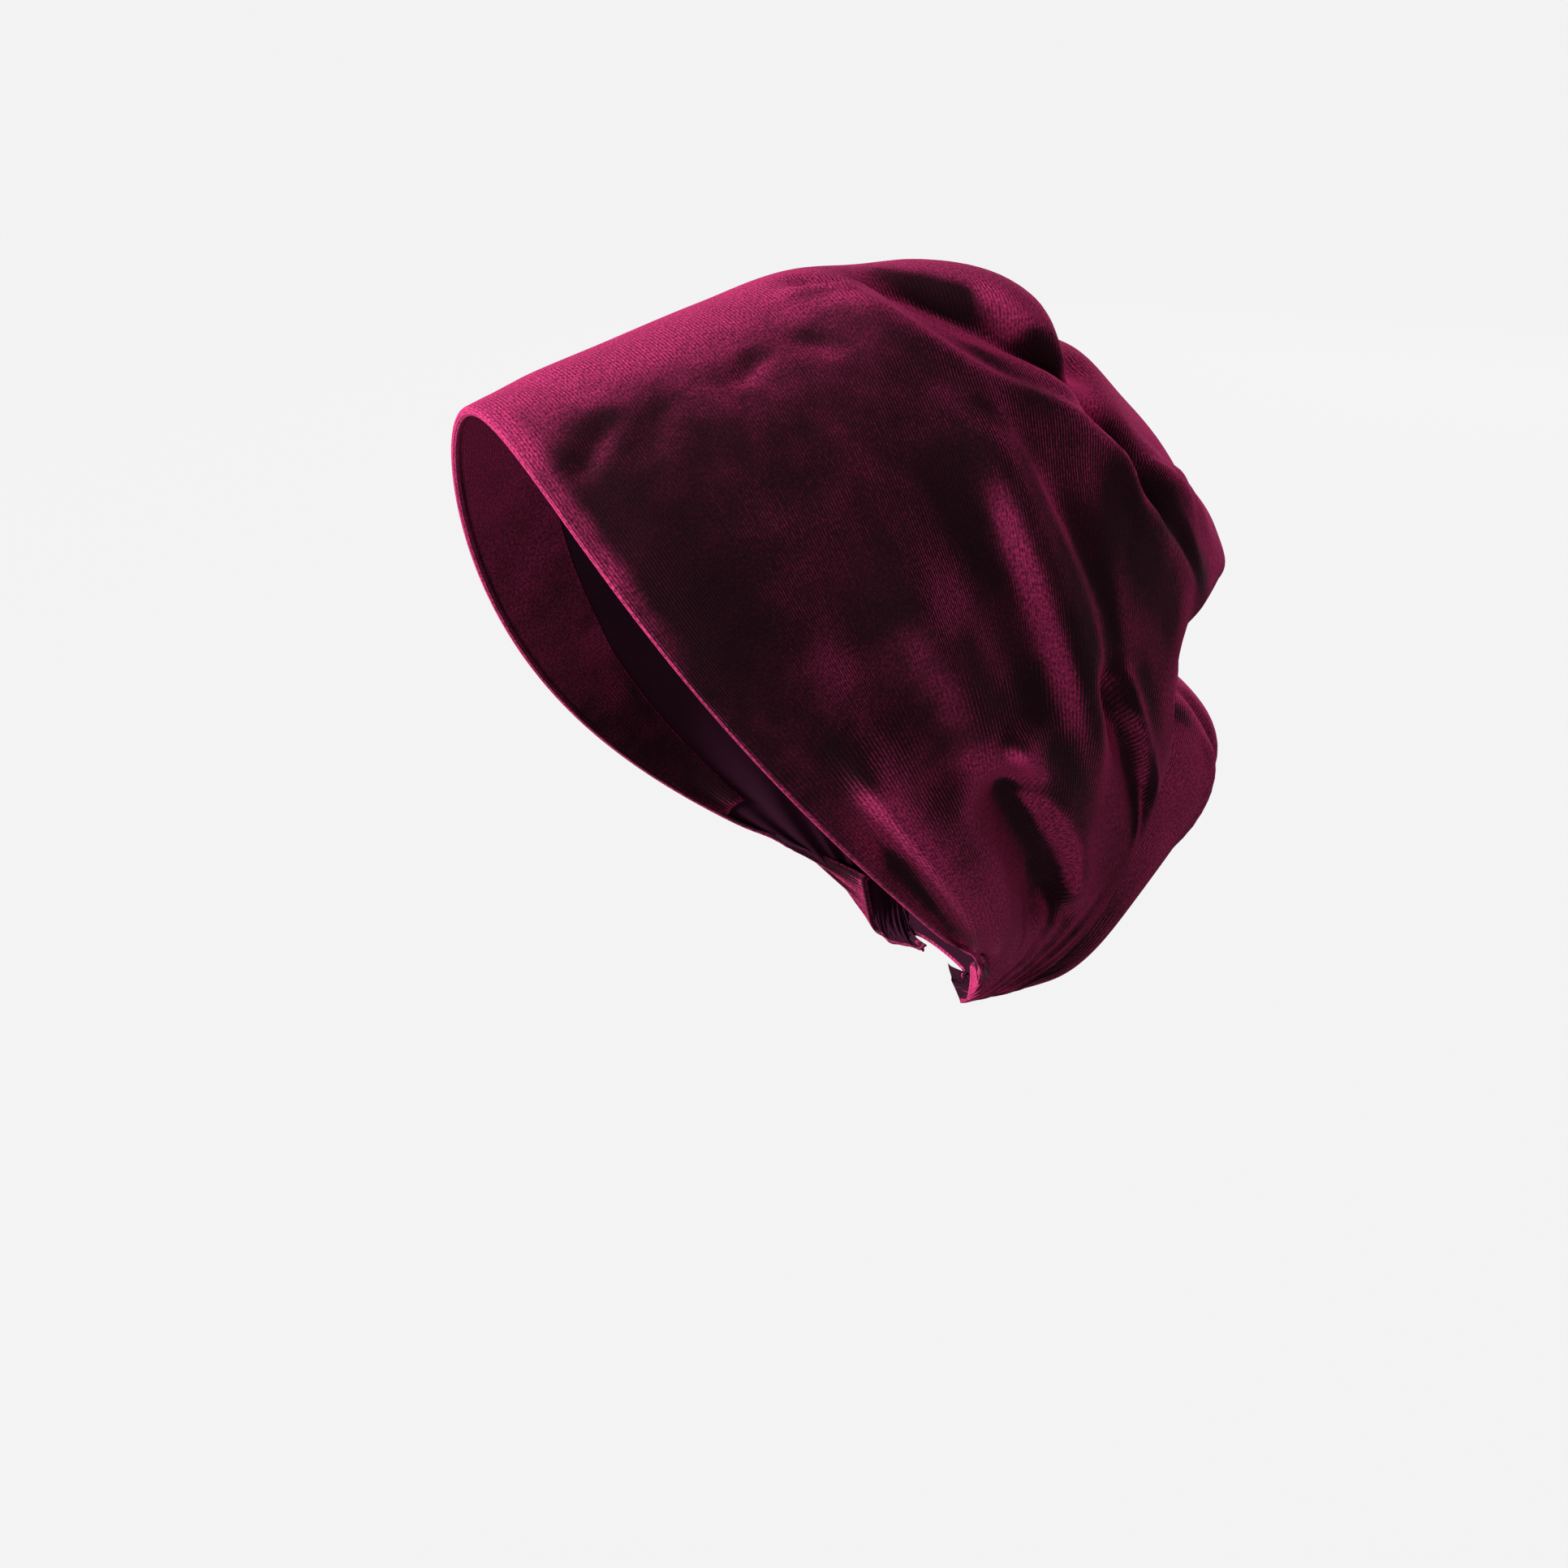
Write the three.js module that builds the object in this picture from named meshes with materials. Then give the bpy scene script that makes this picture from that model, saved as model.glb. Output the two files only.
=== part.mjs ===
// Slouch hat in soft ribbed velvet, as worn: a hood-like cap, high at the forehead, drawn into
// gathers at the nape, with its slack cloth fallen into two rolls behind the head.
//
// Frame: millimetres, +Z up, the front faces -Y and the wearer's left is +X. The origin is the
// point on the inner face of the crown that bears on the top of the head.
//
// The cloth is one sheet laid out like a fan. Its strips run from the left nape over the head to
// the right nape: the first is the front rim and the last the nape hem. "strip" counts these
// sections from the rim (0) to the hem (1), and "across" runs along a strip, -1 at the right
// nape, 0 on the mid-line and +1 at the left nape.

import * as THREE from 'three';

// ---- driving sizes, mm ---------------------------------------------------------------------
const WALL = 2.0;              // velvet with its knitted back
const FACING_WALL = 1.2;       // the turned-in edge is pressed thinner
const FACING_GAP = 0.3;        // between the crown and the facing
const FACING_END = 0.76;       // the facing runs this far to each side, as "across"
const CUT_LENGTH = 620;        // flat cloth from the front rim to the nape hem, on the mid-line
const CUT_HALF_WIDTH = 320;    // flat cloth from the mid-line to a nape corner
const NAPE_HALF_WIDTH = 40;    // the rim ends this far to each side at the nape
const NAPE_HEM_HALF_WIDTH = 8; // where the last strip ends
const NAPE_Y = 80;             // back of the neck
const NAPE_Y_STEP = 12;        // the hem sits this much further back at its middle
const NAPE_Z = -241;           // height of the rim's nape corners
const NAPE_DROP = 26;          // the gathers hang this much lower just behind the corners
const NAPE_RISE = 8;           // and rise again by this much to the middle of the hem
const ROLL_REACH = 0.50;       // half the width of the two rolls, as "across"
const ROLL_SHIFT = -0.14;      // the rolls lie this far over to the right, as "across"
const BOW_LEAN = 0.8;          // the rim bows this much more on the right, worn askew
const NAPE_CROWDING = 0.08;    // strips at the nape crowd to this share of their width

// ---- mesh density --------------------------------------------------------------------------
const STRIP_CELLS = 46;        // from the rim to the hem
const ACROSS_CELLS = 57;       // from the right nape to the left nape
const MIDDLE_DENSITY = 0.04;   // draws strips to the middle, where the cloth is most folded
const FRONT_DENSITY = 0.03;    // and from the hem towards the front
const LEFT_DENSITY = 0.22;     // draws cells towards the left side, which has the finer folds
const FACING_STRIP_CELLS = 3;  // the facing is about 46 mm deep

// ---- colours -------------------------------------------------------------------------------
const VELVET = { color: 0x5a0c30, roughness: 0.75, metalness: 0 };
const VELVET_INSIDE = { color: 0x46092c, roughness: 0.8, metalness: 0 };

// Sections of the hat, front rim first. Each gives the mid-line point (y, z), the half width,
// hip (how far up from the nape the widest place is), bow (how far the strip bows forward),
// pinch (how much narrower the shoulders are) and the roll's overhang and lift on the mid-line.
const SECTION_COLUMNS = ['y', 'z', 'half', 'hip', 'bow', 'pinch', 'roll', 'lift'];
const SECTION_ROWS = [
  [-84,  -20, 76, 0.52, 25, 0.00,  0,  0],   // front rim
  [-62,  -13, 79, 0.54, 20, 0.00,  0,  0],
  [-33,   -6, 81, 0.55, 15, 0.00,  0,  0],
  [  2,    3, 82, 0.56, 10, 0.00,  0,  0],   // over the top of the head
  [ 36,   11, 82, 0.56,  6, 0.00,  0,  0],
  [ 70,    8, 81, 0.56,  2, 0.00,  0,  0],   // high point of the slack cloth
  [105,    4, 79, 0.56,  0, 0.00,  0,  0],
  [126,  -14, 78, 0.56,  0, -0.04,  0,  0],
  [144,  -33, 77, 0.56,  0, -0.08,  0,  0],
  [157,  -50, 77, 0.56,  0, -0.12,  2,  2],
  [161,  -72, 77, 0.56,  0, -0.16, 11,  8],   // upper roll begins
  [160,  -96, 74, 0.55,  0, -0.16, 29, 15],
  [156, -116, 66, 0.52,  2, -0.10, 40, 17],   // upper roll, furthest back
  [154, -133, 57, 0.46,  4, 0.00, 22, 17],
  [156, -149, 53, 0.45,  4, 0.00,  8,  8],   // crease between the rolls
  [162, -171, 55, 0.48,  0, 0.00, 33, 12],
  [166, -190, 55, 0.50,  0, 0.00, 45,  6],   // lower roll, furthest back
  [160, -206, 49, 0.50,  0, 0.00, 26,  0],
  [148, -221, 43, 0.50,  0, 0.00,  6,  0],
  [130, -234, 36, 0.50,  0, 0.00,  0,  0],
  [111, -247, 26, 0.50,  0, 0.00,  0,  0],
  [ 95, -257, 16, 0.50,  0, 0.00,  0,  0],   // nape hem
];

// Folds. Each follows a smooth path through three places, given as section number and
// "across". width is half the fold's breadth and height how far it stands out, or in if
// negative. fade is the share of its length over which each end dies away.
const FOLD_COLUMNS = ['s0', 'a0', 's1', 'a1', 's2', 'a2', 'width', 'height', 'fade'];
const FOLD_ROWS = {
  shoulder_ridge:     [ 3.9,  0.02,  5.30,  0.24,   8.9,  0.30,  7.5,   4.5, 0.22],
  shoulder_valley:    [ 4.2, -0.04,  5.85,  0.19,   8.8,  0.25,  7.0,  -8.5, 0.22],
  top_lobe:           [ 4.6, -0.12,  5.50,  0.04,   5.9,  0.17, 14.0,   4.0, 0.30],
  valley_behind_lobe: [ 7.3, -0.34,  6.95, -0.02,   6.5,  0.22,  9.0,  -7.5, 0.30],
  roll_ridge:         [ 6.8,  0.28,  8.80,  0.20,  10.8,  0.17,  6.5,   3.0, 0.25],
  roll_crease:        [ 6.9,  0.30,  8.10,  0.27,  10.0,  0.28,  6.0,  -4.0, 0.25],
  side_ridge:         [ 4.5,  0.21,  5.15,  0.42,   6.5,  0.65,  9.5,   6.0, 0.25],
  side_valley:        [ 5.3,  0.28,  5.80,  0.43,   6.9,  0.57,  6.0,  -3.0, 0.25],
  thin_ridge:         [ 4.8,  0.22,  5.45,  0.39,   6.7,  0.52,  5.5,   2.5, 0.20],
  side_pleat:         [ 6.1,  0.48,  7.40,  0.53,  10.2,  0.58,  5.5,  -6.0, 0.28],
  side_pleat_lip:     [ 6.5,  0.47,  8.00,  0.52,  10.8,  0.56,  5.5,   3.5, 0.28],
  temple_ridge:       [ 3.1,  0.33,  3.35,  0.47,   3.8,  0.62,  9.0,   4.5, 0.30],
  rim_pleat:          [ 1.5,  0.46,  1.65,  0.62,   2.6,  0.84,  6.5,   5.0, 0.25],
  rim_valley:         [ 0.9,  0.52,  1.00,  0.67,   1.5,  0.90,  6.5,  -4.0, 0.25],
  nape_body:          [ 2.7,  0.55,  3.00,  0.66,   4.4,  0.86,  6.5,   4.0, 0.20],
  nape_hollow:        [ 3.9,  0.56,  4.70,  0.66,   6.9,  0.75,  7.0,  -8.5, 0.15],
  nape_fold:          [ 4.0,  0.53,  5.10,  0.61,   7.6,  0.73,  6.5,   5.5, 0.15],
  right_ridge:        [ 3.6, -0.12,  4.60, -0.40,   5.2, -0.72,  9.0,   5.0, 0.25],
  right_pleat:        [ 5.6, -0.36,  6.80, -0.52,   8.4, -0.74,  7.0,  -6.0, 0.20],
  right_hollow:       [ 2.4, -0.52,  2.80, -0.66,   3.2, -0.84,  7.0,  -5.0, 0.20],
  right_rim_pleat:    [ 1.5, -0.50,  1.70, -0.66,   1.9, -0.86,  7.0,   4.0, 0.20],
  back_pleat_left:    [12.5,  0.40, 13.60,  0.58,  14.6,  0.78,  7.0,  -5.0, 0.25],
  back_pleat_right:   [13.0, -0.48, 14.20, -0.60,  15.0, -0.78,  7.0,  -5.0, 0.25],
  back_tuck_left:     [17.0,  0.34, 17.80,  0.54,  18.4,  0.80,  6.0,  -4.0, 0.25],
  back_tuck_right:    [17.2, -0.44, 18.00, -0.58,  18.6, -0.80,  6.0,  -4.0, 0.25],
  notch_crease:       [12.8,  0.16, 11.00,  0.32,  10.4,  0.46, 16.0, -16.5, 0.25],
  upper_roll_lip:     [ 9.6,  0.32, 11.00,  0.24,  11.9,  0.10, 10.0,   3.0, 0.30],
  lobe_gap:           [ 6.9,  0.08,  6.55,  0.19,   6.3,  0.29,  7.0,  -5.5, 0.25],
};
const FOLD_STEPS = 20;

const LAST_SECTION = SECTION_ROWS.length - 1;
const sections = SECTION_ROWS.map((row) => named(SECTION_COLUMNS, row));
const folds = Object.values(FOLD_ROWS).map((row) => foldWithPath(named(FOLD_COLUMNS, row)));

function named(columns, row) {
  return Object.fromEntries(columns.map((column, i) => [column, row[i]]));
}

function clamp01(x) {
  return Math.min(Math.max(x, 0), 1);
}

function easeInOut(x) {
  const t = clamp01(x);
  return t * t * (3 - 2 * t);
}

// A fold's path is the quadratic curve through its three places, kept as short steps.
function foldWithPath(fold) {
  const start = new THREE.Vector2(fold.s0 / LAST_SECTION, fold.a0);
  const middle = new THREE.Vector2(fold.s1 / LAST_SECTION, fold.a1);
  const end = new THREE.Vector2(fold.s2 / LAST_SECTION, fold.a2);
  const control = middle.multiplyScalar(2).addScaledVector(start, -0.5).addScaledVector(end, -0.5);
  const curve = new THREE.QuadraticBezierCurve(start, control, end);
  const path = [];
  for (let i = 0; i <= FOLD_STEPS; i++) path.push(curve.getPoint(i / FOLD_STEPS));
  return { ...fold, path };
}

// One value of the section table at a strip, through the rows by a Catmull-Rom curve.
function sectionValue(column, strip) {
  const at = clamp01(strip) * LAST_SECTION;
  const i = Math.min(Math.floor(at), LAST_SECTION - 1);
  const t = at - i;
  const p1 = sections[i][column];
  const p2 = sections[i + 1][column];
  const p0 = i > 0 ? sections[i - 1][column] : 2 * p1 - p2;
  const p3 = i + 2 <= LAST_SECTION ? sections[i + 2][column] : 2 * p2 - p1;
  return 0.5 * (2 * p1 + (p2 - p0) * t + (2 * p0 - 5 * p1 + 4 * p2 - p3) * t * t
    + (3 * p1 - p0 - 3 * p2 + p3) * t * t * t);
}

// Where a strip ends at the left nape, on the hem.
function napePoint(strip) {
  const drop = NAPE_DROP * (1 - (1 - strip) ** 6);
  return new THREE.Vector3(
    THREE.MathUtils.lerp(NAPE_HALF_WIDTH, NAPE_HEM_HALF_WIDTH, strip),
    NAPE_Y + NAPE_Y_STEP * strip,
    NAPE_Z - drop + NAPE_RISE * strip);
}

// The unfolded surface: each strip is an egg-shaped arc in the slanting plane that holds its
// nape point and its mid-line point.
function smoothPoint(strip, across) {
  const climb = 1 - Math.abs(across);
  const window = Math.exp(-(((across - ROLL_SHIFT) / ROLL_REACH) ** 4));
  const y = sectionValue('y', strip) + window * sectionValue('roll', strip);
  const z = sectionValue('z', strip) + window * sectionValue('lift', strip);
  const half = sectionValue('half', strip);
  const hip = sectionValue('hip', strip);
  const nape = napePoint(strip);

  const up = ((1 - Math.cos(Math.PI * climb)) / 2) ** (Math.log(hip) / Math.log(0.5));
  const swell = Math.max(Math.sin(Math.PI * climb), 0);
  const tight = climb < 0.5 ? 1 + 0.35 * Math.cos(Math.PI * climb) : 1;
  const shoulder = sectionValue('pinch', strip) * Math.sin(2 * Math.PI * climb)
    * Math.max(2 * climb - 1, 0);
  const side = nape.x * (1 - up) * Math.cos(Math.PI * climb / 2)
    + half * (swell ** tight + shoulder);

  const rise = new THREE.Vector2(y - nape.y, z - nape.z);
  const bow = sectionValue('bow', strip) * (1 - BOW_LEAN * across) * swell * swell / rise.length();
  return new THREE.Vector3(
    Math.sign(across) * side,
    nape.y + rise.x * up - rise.y * bow,
    nape.z + rise.y * up + rise.x * bow);
}

// Outward direction of the unfolded surface.
function outward(strip, across) {
  const step = 1e-3;
  const alongStrip = smoothPoint(Math.min(strip + step, 1), across)
    .sub(smoothPoint(Math.max(strip - step, 0), across));
  const alongAcross = smoothPoint(strip, Math.min(across + step, 1))
    .sub(smoothPoint(strip, Math.max(across - step, -1)));
  return alongAcross.cross(alongStrip).normalize();
}

// Distance from a fold's path, measured on the cloth, and the share of the path passed.
function nearestOnPath(path, strip, across, crowding) {
  const last = path.length - 2;
  let best = { distance: Infinity, passed: 0 };
  for (let i = 0; i <= last; i++) {
    const dx = (path[i + 1].x - path[i].x) * CUT_LENGTH * crowding;
    const dy = (path[i + 1].y - path[i].y) * CUT_HALF_WIDTH;
    const ex = (strip - path[i].x) * CUT_LENGTH * crowding;
    const ey = (across - path[i].y) * CUT_HALF_WIDTH;
    let t = (ex * dx + ey * dy) / (dx * dx + dy * dy);
    if (i > 0) t = Math.max(t, 0);
    if (i < last) t = Math.min(t, 1);
    const distance = Math.hypot(ex - t * dx, ey - t * dy);
    if (distance < best.distance) best = { distance, passed: (i + t) / (last + 1) };
  }
  return best;
}

// How far all the folds together move the cloth in or out.
function foldHeight(strip, across) {
  const crowding = Math.max((1 + Math.cos(Math.PI * across)) / 2, NAPE_CROWDING);
  let height = 0;
  for (const fold of folds) {
    const { distance, passed } = nearestOnPath(fold.path, strip, across, crowding);
    const ends = easeInOut(passed / fold.fade) * easeInOut((1 - passed) / fold.fade);
    height += fold.height * ends * Math.exp(-((distance / fold.width) ** 2));
  }
  return height;
}

// The grid's places on the cloth.
function places(cells, place) {
  return Array.from({ length: cells + 1 }, (_, i) => place(i / cells));
}

const gridStrips = places(STRIP_CELLS, (u) => u + MIDDLE_DENSITY * Math.sin(2 * Math.PI * u)
  - FRONT_DENSITY * Math.sin(Math.PI * u));
const gridAcrosses = places(ACROSS_CELLS, (u) => 2 * u - 1 + LEFT_DENSITY * Math.sin(Math.PI * u));

// Whether a cell's second diagonal, from (strip0, across1), follows the folds better than the
// diagonal from (strip0, across0).
function secondDiagonalFits(strip0, strip1, across0, across1) {
  const twiceMiddle = 2 * foldHeight((strip0 + strip1) / 2, (across0 + across1) / 2);
  const first = foldHeight(strip0, across0) + foldHeight(strip1, across1);
  const second = foldHeight(strip0, across1) + foldHeight(strip1, across0);
  return Math.abs(second - twiceMiddle) < Math.abs(first - twiceMiddle);
}

// A closed wall of cloth on a grid of strips and acrosses. The outer face lies "under" below
// the folded surface, and the inner face a further "wall" below that.
function clothWall({ strips, acrosses, under, wall }) {
  const lastStrip = strips.length - 1;
  const lastAcross = acrosses.length - 1;
  const perFace = strips.length * acrosses.length;
  const positions = new Float32Array(2 * perFace * 3);
  const vertex = (face, i, j) => face * perFace + i * acrosses.length + j;
  strips.forEach((strip, i) => {
    acrosses.forEach((across, j) => {
      const point = smoothPoint(strip, across);
      const normal = outward(strip, across);
      const height = foldHeight(strip, across) - under;
      point.clone().addScaledVector(normal, height).toArray(positions, 3 * vertex(0, i, j));
      point.addScaledVector(normal, height - wall).toArray(positions, 3 * vertex(1, i, j));
    });
  });

  const faces = [];
  const quad = (a, b, c, d) => faces.push(a, b, c, a, c, d);
  for (let i = 0; i < lastStrip; i++) {
    for (let j = 0; j < lastAcross; j++) {
      const outer = [vertex(0, i, j), vertex(0, i, j + 1), vertex(0, i + 1, j + 1),
        vertex(0, i + 1, j)];
      const inner = [vertex(1, i, j), vertex(1, i + 1, j), vertex(1, i + 1, j + 1),
        vertex(1, i, j + 1)];
      if (secondDiagonalFits(strips[i], strips[i + 1], acrosses[j], acrosses[j + 1])) {
        outer.push(outer.shift());
        inner.push(inner.shift());
      }
      quad(...outer);
      quad(...inner);
    }
  }
  for (let j = 0; j < lastAcross; j++) {
    quad(vertex(0, 0, j), vertex(1, 0, j), vertex(1, 0, j + 1), vertex(0, 0, j + 1));
    quad(vertex(0, lastStrip, j), vertex(0, lastStrip, j + 1),
      vertex(1, lastStrip, j + 1), vertex(1, lastStrip, j));
  }
  for (let i = 0; i < lastStrip; i++) {
    quad(vertex(0, i, 0), vertex(0, i + 1, 0), vertex(1, i + 1, 0), vertex(1, i, 0));
    quad(vertex(0, i, lastAcross), vertex(1, i, lastAcross),
      vertex(1, i + 1, lastAcross), vertex(0, i + 1, lastAcross));
  }
  const geometry = new THREE.BufferGeometry();
  geometry.setAttribute('position', new THREE.BufferAttribute(positions, 3));
  geometry.setIndex(faces);
  geometry.computeVertexNormals();
  return geometry;
}

// The crown: the whole velvet body of the hat, rim to nape hem, with its folds and rolls.
function crown() {
  const geometry = clothWall({
    strips: gridStrips, acrosses: gridAcrosses, under: 0, wall: WALL,
  });
  const mesh = new THREE.Mesh(geometry, new THREE.MeshStandardMaterial(VELVET));
  mesh.name = 'crown';
  return mesh;
}

// The rim facing: the edge of the cloth turned in behind the front rim.
function rimFacing() {
  const geometry = clothWall({
    strips: gridStrips.slice(0, FACING_STRIP_CELLS + 1),
    acrosses: gridAcrosses.filter((across) => Math.abs(across) < FACING_END),
    under: WALL + FACING_GAP, wall: FACING_WALL,
  });
  const mesh = new THREE.Mesh(geometry, new THREE.MeshStandardMaterial(VELVET_INSIDE));
  mesh.name = 'rim_facing';
  return mesh;
}

const hat = new THREE.Group();
hat.add(crown(), rimFacing());

export default hat;
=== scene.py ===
import math

import bpy
import numpy as np
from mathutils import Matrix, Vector


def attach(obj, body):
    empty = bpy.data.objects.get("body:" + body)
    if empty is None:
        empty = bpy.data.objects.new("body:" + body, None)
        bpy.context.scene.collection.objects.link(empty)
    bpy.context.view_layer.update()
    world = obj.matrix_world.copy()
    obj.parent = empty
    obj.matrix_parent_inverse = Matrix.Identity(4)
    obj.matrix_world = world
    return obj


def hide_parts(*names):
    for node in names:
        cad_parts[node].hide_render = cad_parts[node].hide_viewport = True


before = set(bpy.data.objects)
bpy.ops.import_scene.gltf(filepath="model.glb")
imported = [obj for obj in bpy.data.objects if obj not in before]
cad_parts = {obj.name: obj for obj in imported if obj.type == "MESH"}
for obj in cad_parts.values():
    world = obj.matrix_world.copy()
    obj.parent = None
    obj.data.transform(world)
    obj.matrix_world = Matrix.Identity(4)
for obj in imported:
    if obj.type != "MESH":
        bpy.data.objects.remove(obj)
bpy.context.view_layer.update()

# ---- Crown -----------------------------------------------------------------------------------
# The whole body of the hat is one piece of ribbed stretch velvet. It starts at the front rim,
# runs over the head, drops at the back in two soft rolls, and is gathered into the nape at
# each side. Its front edge is folded over a soft bead.
#
# Places on the cloth are "strip", 0 on the front rim to 1 on the nape hem, and "across",
# -1 at the right nape, 0 on the mid-line and +1 at the left nape. Sizes are in millimetres
# until a mesh is made.

WALL = 2.0                     # velvet with its knitted back
RIM_BEAD = 3.5                 # thickness of the folded rim
CUT_LENGTH = 620               # flat cloth from the front rim to the nape hem, on the mid-line
CUT_HALF_WIDTH = 320           # flat cloth from the mid-line to a nape corner
NAPE_HALF_WIDTH = 40           # the rim ends this far to each side at the nape
NAPE_HEM_HALF_WIDTH = 8        # where the last strip ends
NAPE_Y = 80                    # back of the neck
NAPE_Y_STEP = 12               # the hem sits this much further back at its middle
NAPE_Z = -241                  # height of the rim's nape corners
NAPE_DROP = 26                 # the gathers hang this much lower just behind the corners
NAPE_RISE = 8                  # and rise again by this much to the middle of the hem
ROLL_REACH = 0.50              # half the width of the two rolls, as "across"
ROLL_SHIFT = -0.14             # the rolls lie this far over to the right, as "across"
BOW_LEAN = 0.8                 # the rim bows this much more on the right, worn askew
NAPE_CROWDING = 0.08           # strips at the nape crowd to this share of their width

# Sections of the hat, front rim first: the mid-line point (y, z), the half width, hip (how far
# up from the nape the widest place is), bow (how far the strip bows forward), pinch (how much
# narrower the shoulders are) and the roll's overhang and lift on the mid-line.
SECTIONS = np.array([
    [ -84,  -20, 76, 0.52, 25, 0.00,  0,  0],   # front rim
    [ -62,  -13, 79, 0.54, 20, 0.00,  0,  0],
    [ -33,   -6, 81, 0.55, 15, 0.00,  0,  0],
    [   2,    3, 82, 0.56, 10, 0.00,  0,  0],   # over the top of the head
    [  36,   11, 82, 0.56,  6, 0.00,  0,  0],
    [  70,    8, 81, 0.56,  2, 0.00,  0,  0],   # high point of the slack cloth
    [ 105,    4, 79, 0.56,  0, 0.00,  0,  0],
    [ 126,  -14, 78, 0.56,  0, -0.04,  0,  0],
    [ 144,  -33, 77, 0.56,  0, -0.08,  0,  0],
    [ 157,  -50, 77, 0.56,  0, -0.12,  2,  2],
    [ 161,  -72, 77, 0.56,  0, -0.16, 11,  8],  # upper roll begins
    [ 160,  -96, 74, 0.55,  0, -0.16, 29, 15],
    [ 156, -116, 66, 0.52,  2, -0.10, 40, 17],  # upper roll, furthest back
    [ 154, -133, 57, 0.46,  4, 0.00, 22, 17],
    [ 156, -149, 53, 0.45,  4, 0.00,  8,  8],   # crease between the rolls
    [ 162, -171, 55, 0.48,  0, 0.00, 33, 12],
    [ 166, -190, 55, 0.50,  0, 0.00, 45,  6],   # lower roll, furthest back
    [ 160, -206, 49, 0.50,  0, 0.00, 26,  0],
    [ 148, -221, 43, 0.50,  0, 0.00,  6,  0],
    [ 130, -234, 36, 0.50,  0, 0.00,  0,  0],
    [ 111, -247, 26, 0.50,  0, 0.00,  0,  0],
    [  95, -257, 16, 0.50,  0, 0.00,  0,  0],   # nape hem
])
LAST_SECTION = len(SECTIONS) - 1

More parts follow.
